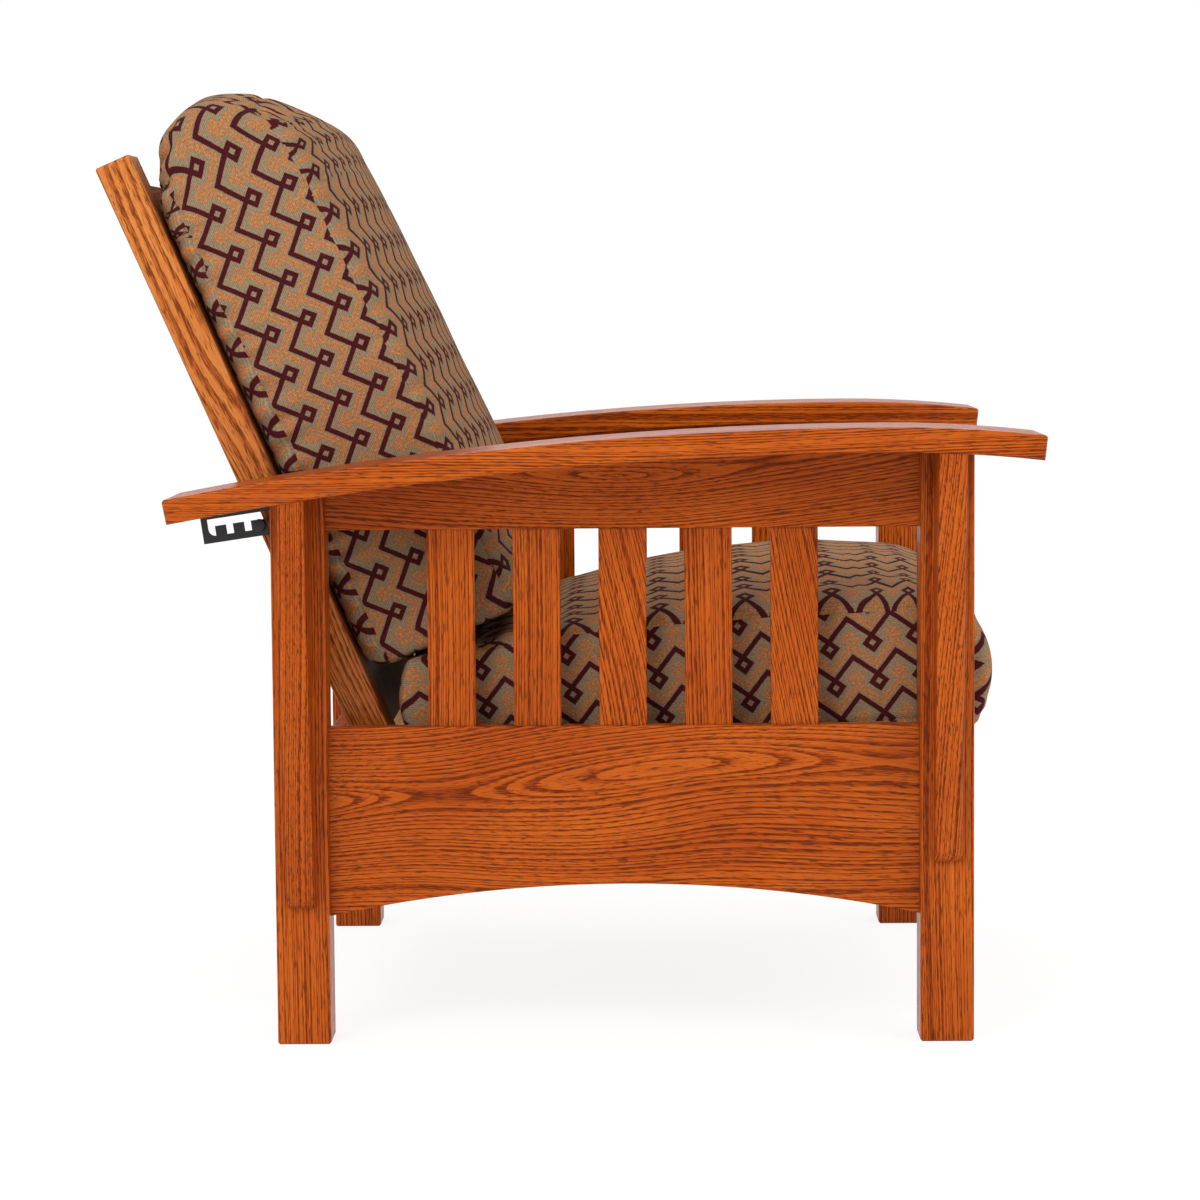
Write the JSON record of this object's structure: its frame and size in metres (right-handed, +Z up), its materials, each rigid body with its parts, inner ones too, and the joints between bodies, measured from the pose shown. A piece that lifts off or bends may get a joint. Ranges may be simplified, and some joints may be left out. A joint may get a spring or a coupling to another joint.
{
  "type": "reclining armchair",
  "caption": "bow-arm reclining armchair with slatted sides, long corbels, loose seat and back cushions, and an adjustable back held by a rod in notched plates",
  "frame": {"origin": "centre of the overall bounding box in plan, at floor height", "axes": "+Z up, the sitter faces -Y, +X is the sitter's left"},
  "size_m": [0.887, 0.9646, 0.9877],
  "materials": {
    "oak": "satin lacquered red oak, stained warm red-brown",
    "plain_wood": "plain sanded hardwood",
    "black_steel": "black satin coating",
    "upholstery": "ribbed chenille with a zigzag and small squares",
    "lining": "plain lining cloth over a thin board"
  },
  "bodies": {
    "frame": {"arm_left": "oak", "arm_right": "oak", "front_corbel_left": "oak", "front_corbel_right": "oak", "front_post_left": "oak", "front_post_right": "oak", "front_rail": "oak", "lower_side_rail_left": "oak", "lower_side_rail_right": "oak", "notched_plate_left": "black_steel", "notched_plate_right": "black_steel", "notched_plate_screws_left": "black_steel", "notched_plate_screws_right": "black_steel", "pivot_bolt_left": "black_steel", "pivot_bolt_right": "black_steel", "pivot_washer_left": "black_steel", "pivot_washer_right": "black_steel", "rear_corbel_left": "oak", "rear_corbel_right": "oak", "rear_post_left": "oak", "rear_post_right": "oak", "rear_rail": "oak", "seat_bearer_left": "plain_wood", "seat_bearer_right": "plain_wood", "seat_bearer_screws_left": "black_steel", "seat_bearer_screws_right": "black_steel", "seat_cushion": "upholstery", "seat_slat_1": "plain_wood", "seat_slat_2": "plain_wood", "seat_slat_3": "plain_wood", "seat_slat_4": "plain_wood", "seat_slat_5": "plain_wood", "seat_slat_6": "plain_wood", "seat_slat_7": "plain_wood", "seat_slat_screws": "black_steel", "side_slat_left_1": "oak", "side_slat_left_2": "oak", "side_slat_left_3": "oak", "side_slat_left_4": "oak", "side_slat_left_5": "oak", "side_slat_right_1": "oak", "side_slat_right_2": "oak", "side_slat_right_3": "oak", "side_slat_right_4": "oak", "side_slat_right_5": "oak", "upper_side_rail_left": "oak", "upper_side_rail_right": "oak"},
    "back": {"back_bottom_rail": "oak", "back_cushion": "upholstery", "back_panel": "lining", "back_stile_left": "oak", "back_stile_right": "oak", "crest_rail": "oak", "ladder_slat_1": "oak", "ladder_slat_2": "oak", "ladder_slat_3": "oak", "ladder_slat_4": "oak"},
    "rod": {"support_rod": "black_steel"}
  },
  "joints": [
    {"name": "back_recline", "type": "hinge", "parent": "frame", "child": "back", "pos_m": [0, 0.17516, 0.246], "axis": [-1, 0, 0], "range_deg": [0, 8.2]},
    {"name": "rod_travel", "type": "slide", "parent": "frame", "child": "rod", "axis": [0, 0.9895, -0.1444], "range_m": [0, 0.05]}
  ],
  "couplings": [
    {"joint": "rod_travel", "follows": "back_recline", "m_per_rad": 0.34857}
  ]
}
